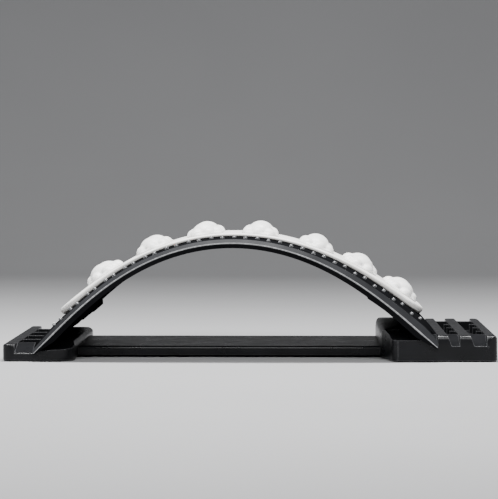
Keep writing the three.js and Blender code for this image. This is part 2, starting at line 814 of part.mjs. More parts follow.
function centreBar() {
  const half = barWidth / 2;
  const x0 = leftInnerX - tongueLength;
  const x1 = rightInnerX + tongueLength;
  const body = drawAlong(roundedOutline([
    [-half, barBottom, edgeRound], [half, barBottom, edgeRound],
    [half, barTop, barRound], [-half, barTop, barRound],
  ]), x0, x1);
  const cells = hollows(leftInnerX + ribWall * 2, rightInnerX - ribWall * 2, barHollowColumns,
    ribWall * 2 - half, half - ribWall * 2, barHollowRows, barTop - barSkin);
  const sinkTop = barBottom + screwHeadHeight + seatGap;
  const screwHoles = screwPlaces().map(({ x, y }) => {
    const hole = turn([
      [0, barBottom - overrun],
      [screwHead / 2 + seatGap, barBottom - overrun],
      [screwHead / 2 + seatGap, sinkTop],
      [screwShank / 2 + seatGap, sinkTop],
      [screwShank / 2 + seatGap, barTop + overrun],
      [0, barTop + overrun],
    ], roundSides);
    hole.translate(x, y, 0);
    return solid(hole);
  });
  return cut(body, [...cells, ...screwHoles]);
}

function screwPlaces() {
  return [leftInnerX - tongueLength / 2, rightInnerX + tongueLength / 2]
    .flatMap((x) => [-screwY, screwY].map((y) => ({ x, y })));
}

function barScrew() {
  const headTop = barBottom + screwHeadHeight;
  const radius = screwShank / 2;
  return turn([
    [0, barBottom],
    [screwHead / 2 - edgeRound, barBottom],
    [screwHead / 2, barBottom + edgeRound],
    [screwHead / 2, headTop],
    [radius, headTop],
    [radius, barTop + screwGrip - radius],
    [0, barTop + screwGrip],
  ], roundSides);
}

// Assembly

const stretcher = new THREE.Group();

function add(parent, name, geometry, material) {
  const mesh = new THREE.Mesh(geometry, material);
  mesh.name = name;
  parent.add(mesh);
  return mesh;
}

const base = new THREE.Group();
add(base, 'fixed_end_block', geometryOf(fixedEndBlock()), finish(black, 0.42));
add(base, 'adjusting_end_block', geometryOf(adjustingEndBlock()), finish(black, 0.42));
add(base, 'centre_bar', geometryOf(centreBar()), finish(black, 0.42));
screwPlaces().forEach(({ x, y }, i) => {
  const screw = add(base, `bar_screw_${i + 1}`, geometryOf(solid(barScrew())), finish(steel, 0.35, 1));
  screw.position.set(x, y, 0);
});
padPlaces().forEach(({ x, y }, i) => {
  const pad = raise(padShape(x, y, 0), 0, padThickness);
  add(base, `foot_pad_${i + 1}`, geometryOf(pad), finish(rubberGrey, 0.9));
});

const arch = new THREE.Group();
add(arch, 'arch_board', geometryOf(archBoard()), finish(blackSatin, 0.45));
add(arch, 'massage_strip', geometryOf(massageStrip()), finish(white, 0.5));
noduleSeats().forEach(({ s, y, turned }, i) => {
  const shape = geometryOf(massageNodule(s, turned));
  const nodule = add(arch, `massage_nodule_${i + 1}`, shape, finish(white, 0.45));
  nodule.position.copy(onBoard(s, y, stripTop(s)));
  nodule.rotation.y = -stripSlopeAt(s);
});

stretcher.add(base, arch);

export default stretcher;
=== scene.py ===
# %% [markdown]
# # An arched back stretcher
# This scene rebuilds a back stretcher from a photograph: a flexible board, bent into an arch between the two
# toothed ends of a low base, with a soft white strip of massage nodules along its top. The CAD model gives
# every piece its place and its size. Its solids could be shown as they are, but they have few faces and no
# finish. So here each piece gets the fine shape and the material that the photograph shows.
# Lengths are in metres. X runs along the arch, Y across it, and Z is up.
# %% Load the CAD frame
import json
import math

import bmesh
import bpy
import numpy as np
from mathutils import Matrix, Vector

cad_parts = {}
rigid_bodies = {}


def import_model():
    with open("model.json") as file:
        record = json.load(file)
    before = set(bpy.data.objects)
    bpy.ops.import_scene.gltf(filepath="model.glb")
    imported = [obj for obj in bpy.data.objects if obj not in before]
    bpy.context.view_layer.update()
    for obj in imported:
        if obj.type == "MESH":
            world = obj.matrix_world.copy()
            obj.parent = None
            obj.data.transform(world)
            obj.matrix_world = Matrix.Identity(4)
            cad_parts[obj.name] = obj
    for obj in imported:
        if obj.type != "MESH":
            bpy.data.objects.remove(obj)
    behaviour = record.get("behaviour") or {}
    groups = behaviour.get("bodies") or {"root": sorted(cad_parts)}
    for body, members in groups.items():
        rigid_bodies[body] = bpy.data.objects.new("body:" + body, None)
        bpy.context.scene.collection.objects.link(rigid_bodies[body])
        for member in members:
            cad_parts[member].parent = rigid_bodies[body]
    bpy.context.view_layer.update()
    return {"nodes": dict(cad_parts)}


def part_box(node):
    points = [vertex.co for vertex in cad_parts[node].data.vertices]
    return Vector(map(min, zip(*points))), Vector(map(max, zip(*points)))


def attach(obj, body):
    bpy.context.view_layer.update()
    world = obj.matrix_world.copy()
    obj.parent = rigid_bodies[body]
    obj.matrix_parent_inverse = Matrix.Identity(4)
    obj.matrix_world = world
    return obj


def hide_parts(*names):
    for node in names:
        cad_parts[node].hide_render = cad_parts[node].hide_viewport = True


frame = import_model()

MM = 0.001
weld = MM / 100                 # points that are closer than this are merged
fine_weld = MM / 1000           # and in the fine shapes that are skinned or spun here
scene_objects = bpy.context.scene.collection.objects


print("CAD nodes:", len(frame["nodes"]))

# %% [markdown]
# ## The camera
# A camera could be moved by hand until the picture looks right, but the photograph says where it stood. Lines
# along Y meet at one point of the picture, the vanishing point, and a camera that looks along Y has it
# straight ahead. So the camera's place follows from that point, from the scale of the front plane and from the
# distance. A long distance keeps the perspective as weak as it is in the photograph. The camera is then
# turned a little, to put the middle of the picture in its middle.
# %% Camera
image_size = (498, 499)
picture_middle = (image_size[0] / 2, image_size[1] / 2)
vanishing_point = (300, 157)
origin_pixel = (249.5, 362.5)
metres_per_pixel = 0.8 * MM
front_y = -120 * MM
camera_distance = 2205 * MM
focal_pixels = camera_distance / metres_per_pixel

camera = bpy.data.objects.new("camera", bpy.data.cameras.new("camera"))
scene_objects.link(camera)
camera.location = (
    (vanishing_point[0] - origin_pixel[0]) * metres_per_pixel,
    front_y - camera_distance,
    (origin_pixel[1] - vanishing_point[1]) * metres_per_pixel)
ahead = Vector((
    (picture_middle[0] - vanishing_point[0]) / focal_pixels, 1,
    (vanishing_point[1] - picture_middle[1]) / focal_pixels))
camera.rotation_mode = "QUATERNION"
camera.rotation_quaternion = ahead.to_track_quat("-Z", "Y")
camera.data.sensor_width = 36
camera.data.lens = focal_pixels * camera.data.sensor_width / max(image_size)
bpy.context.scene.camera = camera
print("lens in mm:", round(camera.data.lens, 1))

# %% [markdown]
# ## The studio
# In a studio the object stands on a roll of paper that curves up behind it. A flat floor and a wall would be
# simpler, but the line where they meet would show. So an edge is pulled out along the floor, spun through a
# quarter turn and pulled up the wall. The wall stands far back, where less light falls, and the white nodules
# stand out against it.
# %% Backdrop
floor_half = 3500 * MM
curve_start = 1500 * MM
curve_radius = 900 * MM
curve_steps = 24


def pull(bm, edges, vector):
    """Extrudes edges along a vector and returns the new edges at their end."""
    made = bmesh.ops.extrude_edge_only(bm, edges=edges)["geom"]
    bmesh.ops.translate(bm, verts=[v for v in made if isinstance(v, bmesh.types.BMVert)], vec=vector)
    return [e for e in made if isinstance(e, bmesh.types.BMEdge) and len(e.link_faces) == 1
        and all(v in made for v in e.verts)]


def backdrop():
    """A floor that curves up into a wall."""
    bm = bmesh.new()
    front = bm.edges.new([bm.verts.new((x, -floor_half, 0)) for x in (-floor_half, floor_half)])
    back = pull(bm, [front], (0, floor_half + curve_start, 0))
    turned = bmesh.ops.spin(bm, geom=back + [v for e in back for v in e.verts], axis=(1, 0, 0),
        cent=(0, curve_start, curve_radius), angle=math.pi / 2, steps=curve_steps, use_merge=False)
    top = [e for e in turned["geom_last"] if isinstance(e, bmesh.types.BMEdge)]
    pull(bm, top, (0, 0, floor_half))
    bmesh.ops.remove_doubles(bm, verts=bm.verts, dist=weld)
    return bm


def object_of(bm, name):
    """An object from a bmesh, at the origin."""
    mesh = bpy.data.meshes.new(name)
    bm.to_mesh(mesh)
    bm.free()
    made = bpy.data.objects.new(name, mesh)
    scene_objects.link(made)
    return made


def count(made):
    """A piece's name and number of faces, to print."""
    return "%s: %d faces" % (made.name, len(made.data.polygons))


floor = object_of(backdrop(), "floor")
floor.data.shade_smooth()
print(count(floor))

# %% [markdown]
# ## The light
# Black plastic shows its form by what it mirrors. Small lamps would give it hard white dots. Long area lights,
# one above and one in front, give the soft streaks that show a rounded black edge. A smaller one at the left
# lights that end of the arch, and a dim sky keeps the shadows from going black.
# %% Sky and lights
world = bpy.data.worlds.new("studio")
world.use_nodes = True
sky = world.node_tree.nodes["Background"]
sky.inputs["Color"].default_value = (0.9, 0.93, 1, 1)
sky.inputs["Strength"].default_value = 0.14
bpy.context.scene.world = world


def softbox(name, place, target, size, power):
    """An area light at place that faces target."""
    data = bpy.data.lights.new(name, "AREA")
    data.shape = "RECTANGLE"
    data.size, data.size_y = size
    data.energy = power
    lamp = bpy.data.objects.new(name, data)
    lamp.location = place
    lamp.rotation_mode = "QUATERNION"
    lamp.rotation_quaternion = (Vector(target) - Vector(place)).to_track_quat("-Z", "Y")
    scene_objects.link(lamp)


arch_middle = (0, 0, 0.05)
softbox("front_light", place=(0.1, -1.0, 0.8), target=arch_middle, size=(1.3, 0.3), power=18)
softbox("top_light", place=(0, -0.05, 1.2), target=arch_middle, size=(0.8, 0.16), power=50)
softbox("left_light", place=(-1.35, -0.3, 0.75), target=arch_middle, size=(0.4, 0.4), power=9)
print("lights:", [o.name for o in scene_objects if o.type == "LIGHT"])

# %% [markdown]
# ## Finishes
# The object is made of black moulded plastic, soft white rubber, grey rubber and plated steel. Pictures of such
# surfaces could be wrapped round the pieces, but a bent board would stretch them. So every finish is made of
# nodes that read the object's own coordinates: they fit any shape, and they stay on the piece when it moves.
# The floor's paper is the simplest and comes first: it is matt, and a slow noise makes its colour cloudy.
# %% Nodes and a first material
def wire(tree, target, inputs):
    """Sets a node's inputs, each to a plain value or to the output that feeds it."""
    for key, value in inputs.items():
        if isinstance(value, bpy.types.NodeSocket):
            tree.links.new(value, target.inputs[key])
        else:
            target.inputs[key].default_value = value


def node(tree, kind, inputs=None, **settings):
    """A node of this kind, with its settings and its inputs."""
    made = tree.nodes.new(kind)
    for key, value in settings.items():
        setattr(made, key, value)
    wire(tree, made, inputs or {})
    return made


def material(name):
    """A material, its node tree and its shader."""
    made = bpy.data.materials.new(name)
    made.use_nodes = True
    return made, made.node_tree, made.node_tree.nodes["Principled BSDF"]


paper, paper_tree, paper_shader = material("floor_paper")
wire(paper_tree, paper_shader, {"Roughness": 0.85})
floor.data.materials.append(paper)
print("floor finish:", paper.name)


# %% Noise, ranges and mixes
def grain(tree, scale, detail, stretch=(1, 1, 1)):
    """Noise on the object's own coordinates, scale features to a metre."""
    coordinates = node(tree, "ShaderNodeTexCoord")
    mapping = node(tree, "ShaderNodeMapping", {"Vector": coordinates.outputs["Object"], "Scale": stretch})
    noise = node(tree, "ShaderNodeTexNoise", {
        "Vector": mapping.outputs["Vector"], "Scale": scale, "Detail": detail, "Roughness": 0.55})
    return noise.outputs["Fac"]


def spread(tree, value, low, high, start=0.35, end=0.65):
    """Value between start and end, spread to low and high."""
    ranged = node(tree, "ShaderNodeMapRange", {
        "Value": value, "From Min": start, "From Max": end, "To Min": low, "To Max": high})
    return ranged.outputs["Result"]


def blend(tree, factor, first, second):
    """One colour mixed into another by a factor."""
    mix = node(tree, "ShaderNodeMix", {"Factor": factor}, data_type="RGBA")
    for socket, colour in zip([s for s in mix.inputs if s.type == "RGBA"], (first, second)):
        if isinstance(colour, bpy.types.NodeSocket):
            tree.links.new(colour, socket)
        else:
            socket.default_value = (*colour, 1)
    return [s for s in mix.outputs if s.type == "RGBA"][0]


def times(factor, colour):
    """A colour made darker or lighter."""
    return tuple(factor * v for v in colour)


paper_colour = (0.31, 0.31, 0.315)
clouds = spread(paper_tree, grain(paper_tree, scale=3, detail=2), 0, 1)
cloudy_colour = blend(paper_tree, clouds, times(0.97, paper_colour), paper_colour)
wire(paper_tree, paper_shader, {"Base Color": cloudy_colour})
print("nodes in the floor's finish:", len(paper_tree.nodes))

# %% [markdown]
# ## Black plastic
# The base is a black moulding with a fine grain, and its edges are painted paler: partly rubbed wear, partly a
# painted highlight. The board has three zones: its broad field is so matt that it stays black even where it is
# seen almost edge on, the outer face of its rim is satin and, where it faces up, painted a lighter grey as a
# painted light from above, and its outermost edge is painted pale, partly rubbed wear and partly a painted
# highlight. The pins on it are polished, and their paler grey and pale edges are a painted highlight. Each zone
# could be a piece of its own, but the real board is one moulding without seams. So it stays one skin, and its
# finish finds the zones itself, from the distance across the board and from the way that the surface faces.
# %% Wear and mould grain
def product(tree, first, second):
    """Two shares, multiplied."""
    return node(tree, "ShaderNodeMath", {0: first, 1: second}, operation="MULTIPLY").outputs["Value"]


# The edges found here are painted pale: partly rubbed wear, partly a painted highlight.
def edges_worn_and_lit(tree, radius):
    """Near 1 on sharp edges and 0 on flat faces, from the angle between the true and a rounded normal."""
    rounded_normal = node(tree, "ShaderNodeBevel", {"Radius": radius}, samples=4).outputs["Normal"]
    true_normal = node(tree, "ShaderNodeNewGeometry").outputs["Normal"]
    angle = node(tree, "ShaderNodeVectorMath", {0: rounded_normal, 1: true_normal}, operation="DOT_PRODUCT")
    return spread(tree, angle.outputs["Value"], 1, 0, start=0.92, end=0.996)


def scuffs(tree):
    """Fine marks across the object, which break up the pale edges, both the wear and the painted highlight."""
    return spread(tree, grain(tree, scale=420, detail=4, stretch=(1, 0.25, 1)), 0.6, 1, start=0.45, end=0.7)


def blotches(tree):
    """A slow change over the whole piece."""
    return spread(tree, grain(tree, scale=28, detail=3), 0, 1)


def relief(tree, layers):
    """Bumps stacked on one another, each of (height, strength, distance)."""
    below = {}
    for height, strength, distance in layers:
        bump = node(tree, "ShaderNodeBump", {
            "Height": height, "Strength": strength, "Distance": distance, **below})
        below = {"Normal": bump.outputs["Normal"]}
    return bump.outputs["Normal"]


def mould_grain(tree, shader, gloss, scale):
    """The uneven gloss and the bumps that a mould leaves."""
    wire(tree, shader, {
        "Roughness": spread(tree, grain(tree, scale=75, detail=4), *gloss, start=0.3, end=0.7),
        "Normal": relief(tree, [
            (grain(tree, scale, detail=2), 0.28, 0.12 * MM),
            (grain(tree, scale / 5, detail=2), 0.05, 0.2 * MM)])})


# %% Base and nub plastic
edge_wear_and_highlight_radius = 0.7 * MM


def plastic_with_worn_and_lit_edges(name, dark, light, wear_and_highlight_colour, gloss, grain_scale, shine):
    """Black plastic with a fine mould grain, and edges painted paler: partly rubbed wear, partly a painted
    highlight.
    """
    made, tree, shader = material(name)
    body = blend(tree, blotches(tree), dark, light)
    # Edges are painted pale here: rubbed wear and a painted highlight.
    wear_and_highlight = product(tree, edges_worn_and_lit(tree, edge_wear_and_highlight_radius), scuffs(tree))
    wire(tree, shader, {"Base Color": blend(tree, wear_and_highlight, body, wear_and_highlight_colour), "Specular IOR Level": shine})
    mould_grain(tree, shader, gloss, grain_scale)
    return made


# The pale edge colours are part rubbed wear, part painted highlight; the pins' paler grey body is a painted
# highlight too.
finishes = {
    "base_plastic": plastic_with_worn_and_lit_edges(
        "black_mould", dark=(0.003, 0.0032, 0.0038), light=(0.006, 0.0062, 0.0073),
        wear_and_highlight_colour=(0.11, 0.111, 0.1165), gloss=(0.25, 0.35), grain_scale=2600, shine=0.22),
    "nub_plastic": plastic_with_worn_and_lit_edges(
        "polished_mould", dark=(0.07, 0.0714, 0.075), light=(0.1, 0.102, 0.106),
        wear_and_highlight_colour=(0.58, 0.59, 0.61), gloss=(0.12, 0.2), grain_scale=1600, shine=0.8),
}
print("finishes:", list(finishes))


# %% Board plastic
rim_face_width = 4.4 * MM
face_blur = 0.2 * MM
pale_edge_start = 0.28 * MM
pale_edge_full = 0.16 * MM


def rim_shares(tree, rim_start, side):
    """Where a board's rim faces up and out, and where its outermost edge is, each as 0 to 1."""
    coordinates = node(tree, "ShaderNodeTexCoord")
    parts = node(tree, "ShaderNodeSeparateXYZ", {"Vector": coordinates.outputs["Object"]})
    across = node(tree, "ShaderNodeMath", {0: parts.outputs["Y"]}, operation="ABSOLUTE").outputs["Value"]
    facing = node(tree, "ShaderNodeSeparateXYZ", {"Vector": coordinates.outputs["Normal"]})
    beyond = spread(tree, across, 0, 1, start=rim_start - face_blur, end=rim_start + face_blur)
    # Where the rim's face looks up it is painted lighter: painted light from above.
    upward = spread(tree, facing.outputs["Z"], 0, 1, start=0.08, end=0.25)
    # The outermost band is painted pale: rubbed wear and a painted highlight.
    edge = spread(tree, across, 0, 1, start=side - pale_edge_start, end=side - pale_edge_full)
    return product(tree, beyond, upward), edge


def zoned_plastic(name, dark, light, wear_and_highlight_colour, gloss, grain_scale, shine, rim_start, side):
    """Black plastic: matt inside the rim, satin on its face, painted lighter where that face looks up to the
    light, and painted pale on the edge for wear and highlight.
    """
    made, tree, shader = material(name)
    face, edge = rim_shares(tree, rim_start, side)
    slow = blotches(tree)
    field_colour = blend(tree, slow, dark, times(1.7, dark))
    # The rim's face colour, painted lighter where it faces up: a painted light.
    lit_face_colour = blend(tree, slow, light, times(1.6, light))
    body = blend(tree, face, field_colour, lit_face_colour)
    wire(tree, shader, {
        "Base Color": blend(tree, product(tree, edge, scuffs(tree)), body, wear_and_highlight_colour),
        "Specular IOR Level": product(tree, face, shine)})
    mould_grain(tree, shader, gloss, grain_scale)
    return made


board_low, board_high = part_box("arch_board")
finishes["board_plastic"] = zoned_plastic(
    "satin_mould", dark=(0.004, 0.0041, 0.0046), light=(0.014, 0.0144, 0.0158),
    wear_and_highlight_colour=(0.36, 0.364, 0.37), gloss=(0.42, 0.55), grain_scale=3200, shine=0.06,
    rim_start=board_high.y - rim_face_width, side=board_high.y)
print("finishes:", list(finishes))

# %% [markdown]
# ## White rubber
# The strip and the nodules are soft rubber, which lets a little light in and scatters it. A plain white would
# look like plaster. A little subsurface scattering softens its shadows, and an ambient occlusion node finds the
# creases, where the rubber is painted darker: a painted shade.
# %% Strip and nodule rubber
def elastomer(name, colour, painted_crease_shade, gloss):
    """Soft white rubber, with painted shade in its creases, that lets a little light in."""
    made, tree, shader = material(name)
    body = blend(tree, spread(tree, grain(tree, scale=35, detail=3), 0, 1), times(0.94, colour), colour)
    # Darker where the ambient occlusion node finds creases: a painted shade.
    hollow = node(tree, "ShaderNodeAmbientOcclusion", {"Distance": 4 * MM}, samples=6)
    unshaded_share = spread(tree, hollow.outputs["AO"], 0, 1, start=0.35, end=0.85)
    wire(tree, shader, {
        "Base Color": blend(tree, unshaded_share, painted_crease_shade, body),
        "Roughness": spread(tree, grain(tree, scale=140, detail=3), *gloss),
        "Normal": relief(tree, [
            (grain(tree, scale=1900, detail=2), 0.16, 0.08 * MM),
            (grain(tree, scale=160, detail=2), 0.1, 0.3 * MM)]),
        "Subsurface Weight": 0.12,
        "Subsurface Radius": (1.0, 0.9, 0.8),
        "Subsurface Scale": 1.5 * MM})
    return made


finishes["strip_elastomer"] = elastomer(
    "white_strip", colour=(0.82, 0.81, 0.79), painted_crease_shade=(0.45, 0.44, 0.42), gloss=(0.4, 0.55))
finishes["nodule_elastomer"] = elastomer(
    "white_nodule", colour=(0.84, 0.835, 0.82), painted_crease_shade=(0.5, 0.49, 0.47), gloss=(0.36, 0.5))
print("finishes:", list(finishes))


# %% Pads and screws
def rubber(name, colour):
    """Dull grey rubber."""
    made, tree, shader = material(name)
    slow = spread(tree, grain(tree, scale=90, detail=3), 0, 1)
    wire(tree, shader, {
        "Base Color": blend(tree, slow, colour, times(1.5, colour)),
        "Roughness": spread(tree, grain(tree, scale=300, detail=3), 0.75, 0.92),
        "Normal": relief(tree, [(grain(tree, scale=1500, detail=3), 0.3, 0.2 * MM)])})
    return made


def plated_steel(name, colour):
    """Steel with a bright, slightly cloudy plating."""
    made, tree, shader = material(name)
    slow = spread(tree, grain(tree, scale=500, detail=4), 0, 1)
    wire(tree, shader, {
        "Base Color": blend(tree, slow, colour, times(0.8, colour)),
        "Roughness": spread(tree, grain(tree, scale=900, detail=3), 0.28, 0.45),
        "Normal": relief(tree, [(grain(tree, scale=2500, detail=2), 0.1, 0.05 * MM)]),
        "Metallic": 1.0})
    return made


finishes["pad_rubber"] = rubber("grey_rubber", (0.035, 0.035, 0.038))
finishes["screw_steel"] = plated_steel("zinc_plate", (0.55, 0.56, 0.58))
print("finishes:", list(finishes))

# %% [markdown]
# ## The arch's line
# A thin board that is pushed together at its ends bends most in the middle and stays straight at its feet. A
# circle would be easier to draw, but it bends as much at its feet as in its middle. The slope of the real
# board falls off as a sine from one foot to the other. On the real object the user sets how high it stands by
# choosing one of the slots. The photographed arch also leans a little towards its fixed end, so a second,
# smaller wave is added to the slope.
# %% Length of the board
foot_inset = 0.7 * MM
left_end_height = 6.7 * MM
right_end_height = 11.2 * MM
board_length_share = 1.166
lean = 0.022

left_end = Vector((board_low.x + foot_inset, left_end_height))
right_end = Vector((board_high.x + foot_inset, right_end_height))
span = (right_end - left_end).length
tilt = math.atan2(right_end.y - left_end.y, right_end.x - left_end.x)
board_length = span * board_length_share
half_board = board_length / 2
print("span and board length in mm:", round(span / MM, 1), round(board_length / MM, 1))

# %% [markdown]
# Only one slope at the feet makes a board of this length span the distance between its seats. No simple formula
# gives it. So an interval is halved again and again: where the board still reaches too far, its feet have to
# be steeper.
# %% Slope at the feet
line_steps = 4000
halvings = 50
line_s = np.linspace(-half_board, half_board, line_steps + 1)


def slope_at(s, foot_slope):
    """The angle at which the line climbs or falls at s."""
    turn = np.pi * np.asarray(s) / board_length
    return -foot_slope * np.sin(turn) - lean * np.cos(2 * turn)


def running_sum(values):
    """The integral of values along the line, by trapezoids."""
    step = board_length / line_steps
    return np.concatenate([[0], np.cumsum((values[1:] + values[:-1]) / 2 * step)])


low, high = 0.0, math.pi / 2
for _ in range(halvings):
    foot_slope = (low + high) / 2
    level = slope_at(line_s, foot_slope)
    chord = Vector((running_sum(np.cos(level))[-1], running_sum(np.sin(level))[-1]))
    if chord.length > span:
        low = foot_slope
    else:
        high = foot_slope
print("foot slope in degrees:", round(math.degrees(foot_slope), 2))

# %% Points on the arch
line_angle = level + tilt - math.atan2(chord.y, chord.x)
line_x = left_end.x + running_sum(np.cos(line_angle))
line_z = left_end.y + running_sum(np.sin(line_angle))


def on_board(s, y, rise):
    """The place of a point s along the board, y across it and rise out from its line."""
    angle = np.interp(s, line_s, line_angle)
    beyond = s - np.clip(s, -half_board, half_board)
    x = np.interp(s, line_s, line_x) + beyond * np.cos(angle) - rise * np.sin(angle)
    z = np.interp(s, line_s, line_z) + beyond * np.sin(angle) + rise * np.cos(angle)
    return float(x), float(y), float(z)


def bend(bm):
    """Moves a flat shape, drawn with X along the board and Z out from it, onto the arch."""
    for v in bm.verts:
        v.co = on_board(*v.co)
    return bm


print("top of the line in mm:", round(float(line_z.max()) / MM, 2))

# %% [markdown]
# ## The board
# The board is one thin plastic moulding. A rim runs along both long sides, and its outer face leans in towards
# the top. The middle, under the strip, is crowned higher than the rim over the steep parts. A flat plate with a
# thickness could be bent instead, but it would have no rim and no crown. So the board's heights are written as
# functions of the place along it and across it, measured out from the arch's line.
# %% Board heights
board_width = board_high.y - board_low.y
board_side = board_width / 2
board_thickness = 3.4 * MM
foot_thickness = 3.0 * MM
foot_taper = 19 * MM
rise_growth = 1.6
rim_top_middle = 3.0 * MM
left_rim_top = 2.8 * MM
right_rim_top = 5.8 * MM
rim_foot_drop = 1.8 * MM
rim_lean = 3.6 * MM
edge_round = 0.8 * MM
crown_middle = -0.3 * MM
left_crown_end = 3.5 * MM
right_crown_end = 4.2 * MM
crown_foot = 2.7 * MM
crown_fall_share = 0.17
crown_y = 47 * MM
crown_foot_y = board_side - rim_lean - edge_round


def thinning(s):
    """0 up to the foot's taper, then up to 1 at the board's end."""
    return max(0, abs(s) - (half_board - foot_taper)) / foot_taper


def grown(s, middle, end):
    """A size that grows from the board's middle to its ends."""
    return middle + (end - middle) * min(1, abs(s) / half_board) ** rise_growth


def rim_top(s):
    """Height of the rim's top over the line."""
    if s < 0:
        return grown(s, rim_top_middle, left_rim_top)
    return grown(s, rim_top_middle, right_rim_top) - rim_foot_drop * thinning(s)


def crown(s, y):
    """How much higher than its rim the board is, in full under the strip and less towards the rim."""
    crown_end = left_crown_end if s < 0 else right_crown_end
    fall = max(0, abs(s) / half_board - 1 + crown_fall_share) / crown_fall_share
    full = grown(s, crown_middle, crown_end) - (crown_end - crown_foot) * min(1, fall) ** 2
    share = min(1, max(0, 1 - (abs(y) - crown_y) / (crown_foot_y - crown_y)))
    return full * share


def board_top(s, y):
    """Height of the board's top over the line."""
    return rim_top(s) + crown(s, y) - thinning(s) * (board_thickness - foot_thickness)


def board_under(s, y):
    """Height of the board's underside over the line."""
    return rim_top(s) + crown(s, y) - board_thickness


print("board top over the line in mm, left, middle, right:",
    [round(board_top(s, 0) / MM, 2) for s in (-half_board, 0, half_board)])

# %% [markdown]
# The skin over these heights could be drawn point by point. It is simpler to lay a flat grid, one row for each
# place along the board, and to let each row take the outline of its place. The grid's two long sides then meet
# underneath, where they are merged, and its ends are closed. The same function makes the ribs.
# %% Outline of the board
board_stations = 150
rim_tuck = 1.6 * MM
rim_thickness = 4.5 * MM
rim_middle = 4.2 * MM
rim_end = 5.8 * MM
rim_foot = 1.0 * MM
crown_round = 5 * MM
inner_face = board_side - rim_thickness
edge_split = 2.05               # a little over 2, so that two round corners never meet on an edge


def rounded(corners, arc=4):
    """A closed outline through corners of (y, z, radius), with an arc of points at each rounded one."""
    points = []
    for i, (y, z, radius) in enumerate(corners):
        here = Vector((y, z))
        back = Vector(corners[i - 1][:2]) - here
        on = Vector(corners[(i + 1) % len(corners)][:2]) - here
        if radius == 0:
            points.append(here)
            continue
        half_angle = back.angle(on) / 2
        setback = min(radius / math.tan(half_angle), back.length / edge_split, on.length / edge_split)
        start = here + back.normalized() * setback
        end = here + on.normalized() * setback
        for step in range(arc + 1):
            t = step / arc
            points.append(start * (1 - t) ** 2 + here * (2 * t * (1 - t)) + end * t ** 2)
    return [(p.x, p.y) for p in points]


def mirrored(half):
    """A half outline, from the middle of the underside out and up to the middle of the top, made whole."""
    return [*half, *[(-y, z, radius) for y, z, radius in reversed(half)]]


def rim_depth(s):
    """How far the rim reaches below the line."""
    full = rim_middle + (rim_end - rim_middle) * (s / half_board) ** 2
    return full + (rim_foot - full) * thinning(s)


def board_outline(s):
    """The board's outline at s, with its rim, its crown and a rounded outer edge."""
    top = board_top(s, crown_foot_y)
    depth = rim_depth(s)
    lip = depth / 6
    return rounded(mirrored([
        (crown_y, board_under(s, crown_y), crown_round),
        (inner_face, board_under(s, inner_face), edge_round / 2),
        (inner_face, -depth, edge_round / 2),
        (board_side - rim_tuck, -depth, edge_round / 2),
        (board_side - edge_round / 4, -lip, edge_round / 3),
        (board_side, 0, edge_round),
        (crown_foot_y + edge_round, top, edge_round),
        (crown_y, board_top(s, crown_y), crown_round),
    ]))


print("points in an outline:", len(board_outline(0)))


# %% Skin over the outlines, bent
def skin(stations, outline_at):
    """A closed skin over an outline at each station along X."""
    outlines = [outline_at(s) for s in stations]
    around = len(outlines[0])
    along = len(stations) - 1
    bm = bmesh.new()
    bmesh.ops.create_grid(bm, x_segments=along, y_segments=around, size=0.5)
    for v in bm.verts:
        i = round((v.co.x + 0.5) * along)
        j = round((v.co.y + 0.5) * around) % around
        v.co = (stations[i], *outlines[i][j])
    bmesh.ops.remove_doubles(bm, verts=bm.verts, dist=fine_weld)
    bmesh.ops.holes_fill(bm, edges=bm.edges)
    bmesh.ops.recalc_face_normals(bm, faces=bm.faces)
    return bm


def even(start, end, steps):
    """Evenly spaced values from start to end."""
    return [start + (end - start) * i / steps for i in range(steps + 1)]


board = object_of(bend(skin(even(-half_board, half_board, board_stations), board_outline)), "board")
print(count(board))

# %% [markdown]
# ## The board's feet
# The board stands in the slots of the base. Its right foot is notched where the slot has teeth and cut back at
# the slot's ends, and both feet end upright, along the walls that hold them. The notches could be drawn into
# the outlines, but they cut straight through many of them. So boxes are cut out of the finished skin by a
# Boolean modifier, and its result is kept as the mesh.
# %% Boxes for the ends and the notches
web_pitch = 46 * MM
web_thickness = 5 * MM
tooth_length = 4.5 * MM
ramp_start_y = 92 * MM
seat_gap = 0.3 * MM
left_floor = 6.95 * MM
right_floor = 12.7 * MM
right_ridge_top = 21.6 * MM
past = 10 * MM
left_foot_x = board_low.x
right_foot_x = board_high.x
notch_x = right_foot_x - tooth_length
half_notch = web_thickness / 2 + seat_gap
ramp_inner_y = ramp_start_y - web_thickness - seat_gap

foot_cuts = [
    ((left_foot_x - past, -board_width, 0), (left_foot_x, board_width, right_ridge_top + past)),
    ((right_foot_x, -board_width, 0), (right_foot_x + past, board_width, right_ridge_top + past)),
    ((left_foot_x - past, -inner_face, 0), (left_foot_x + past, inner_face, left_floor + seat_gap)),
    ((right_foot_x - past, -inner_face, 0), (right_foot_x + past, inner_face, right_floor + seat_gap)),
]
for web_y in (-web_pitch, 0, web_pitch):
    foot_cuts.append((
        (notch_x, web_y - half_notch, right_floor - past),
        (right_foot_x + past, web_y + half_notch, right_ridge_top + past)))
for low_y, high_y in ((ramp_inner_y, inner_face), (-inner_face, -ramp_inner_y)):
    foot_cuts.append((
        (notch_x, low_y, right_floor - past),
        (right_foot_x + past, high_y, right_ridge_top + past * 2)))
print("boxes to cut:", len(foot_cuts))


# %% Cut them out
def add_box(bm, low_corner, high_corner):
    """Adds a box between two corners."""
    size = Vector(high_corner) - Vector(low_corner)
    centre = (Vector(high_corner) + Vector(low_corner)) / 2
    bmesh.ops.create_cube(bm, size=1, matrix=Matrix.Translation(centre) @ Matrix.Diagonal((*size, 1)))


